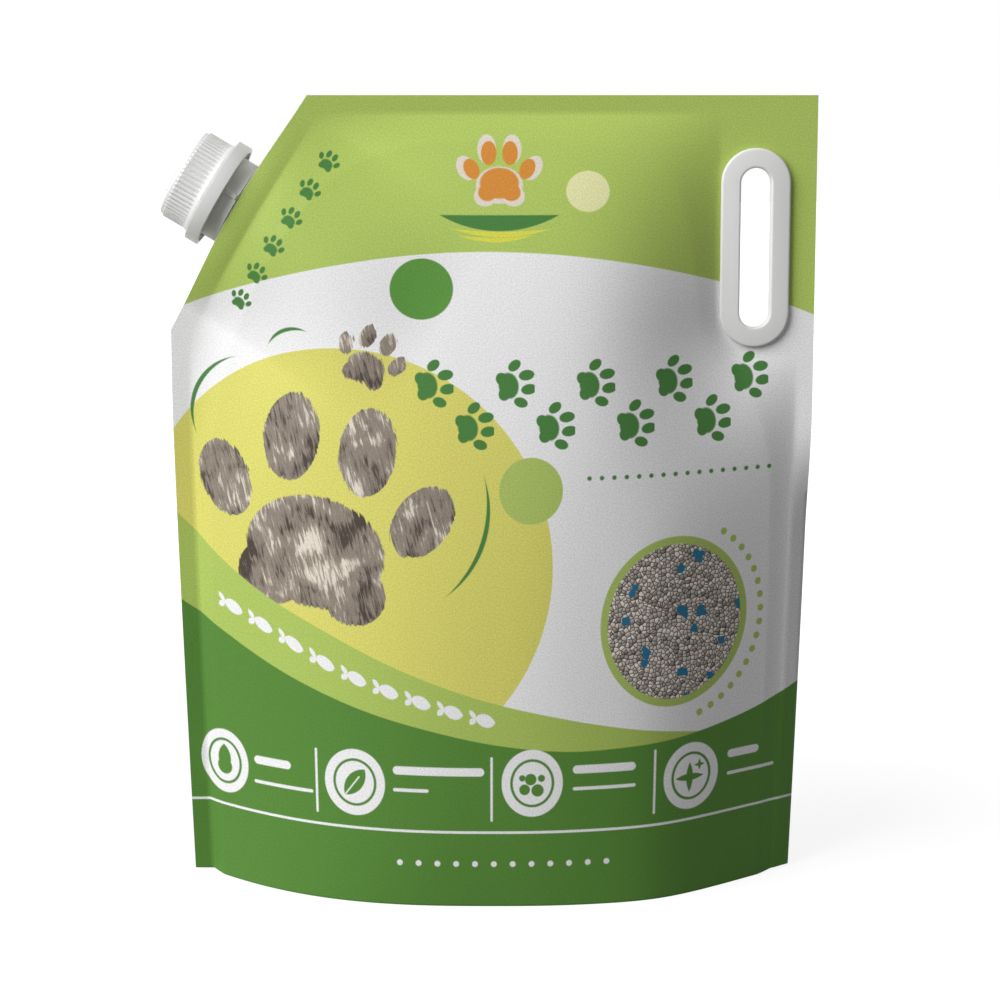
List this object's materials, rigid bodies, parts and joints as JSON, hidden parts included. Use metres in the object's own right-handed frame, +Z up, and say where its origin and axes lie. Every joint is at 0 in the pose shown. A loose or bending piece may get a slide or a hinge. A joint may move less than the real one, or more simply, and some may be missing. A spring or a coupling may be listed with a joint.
{
  "type": "cat litter bag",
  "caption": "Filled stand-up film bag of cat litter with a sloped corner, a wide screw-cap pouring spout in it, and a moulded hand hole ring.",
  "frame": {"origin": "on the floor, under the middle of the bag, midway between its side seals and its front and back films", "axes": "+Z up, front panel towards -Y, spout towards -X, hand hole towards +X"},
  "size_m": [0.3242, 0.1206, 0.394],
  "materials": {
    "printed_film": "matt printed laminate film",
    "spout_plastic": "moulded white polyethylene",
    "cap_plastic": "moulded white polypropylene, fine ribs",
    "liner_foam": "foamed white polyethylene",
    "handle_plastic": "moulded white polyethylene, satin"
  },
  "bodies": {
    "bag": {"pouch": "printed_film", "spout": "spout_plastic", "tamper_ring": "cap_plastic", "handle_front": "handle_plastic", "handle_back": "handle_plastic"},
    "liner": {"cap_liner": "liner_foam"},
    "cap": {"cap": "cap_plastic"}
  },
  "joints": [
    {"name": "cap_rise", "type": "slide", "parent": "bag", "child": "liner", "axis": [-0.8575, 0, 0.5145], "range_m": [0, 0.00847]},
    {"name": "cap_turn", "type": "hinge", "parent": "liner", "child": "cap", "pos_m": [-0.12577, 0, 0.34069], "axis": [-0.8575, 0, 0.5145], "range_deg": [0, 720]}
  ],
  "couplings": [
    {"joint": "cap_rise", "follows": "cap_turn", "m_per_rad": 0.000673}
  ]
}
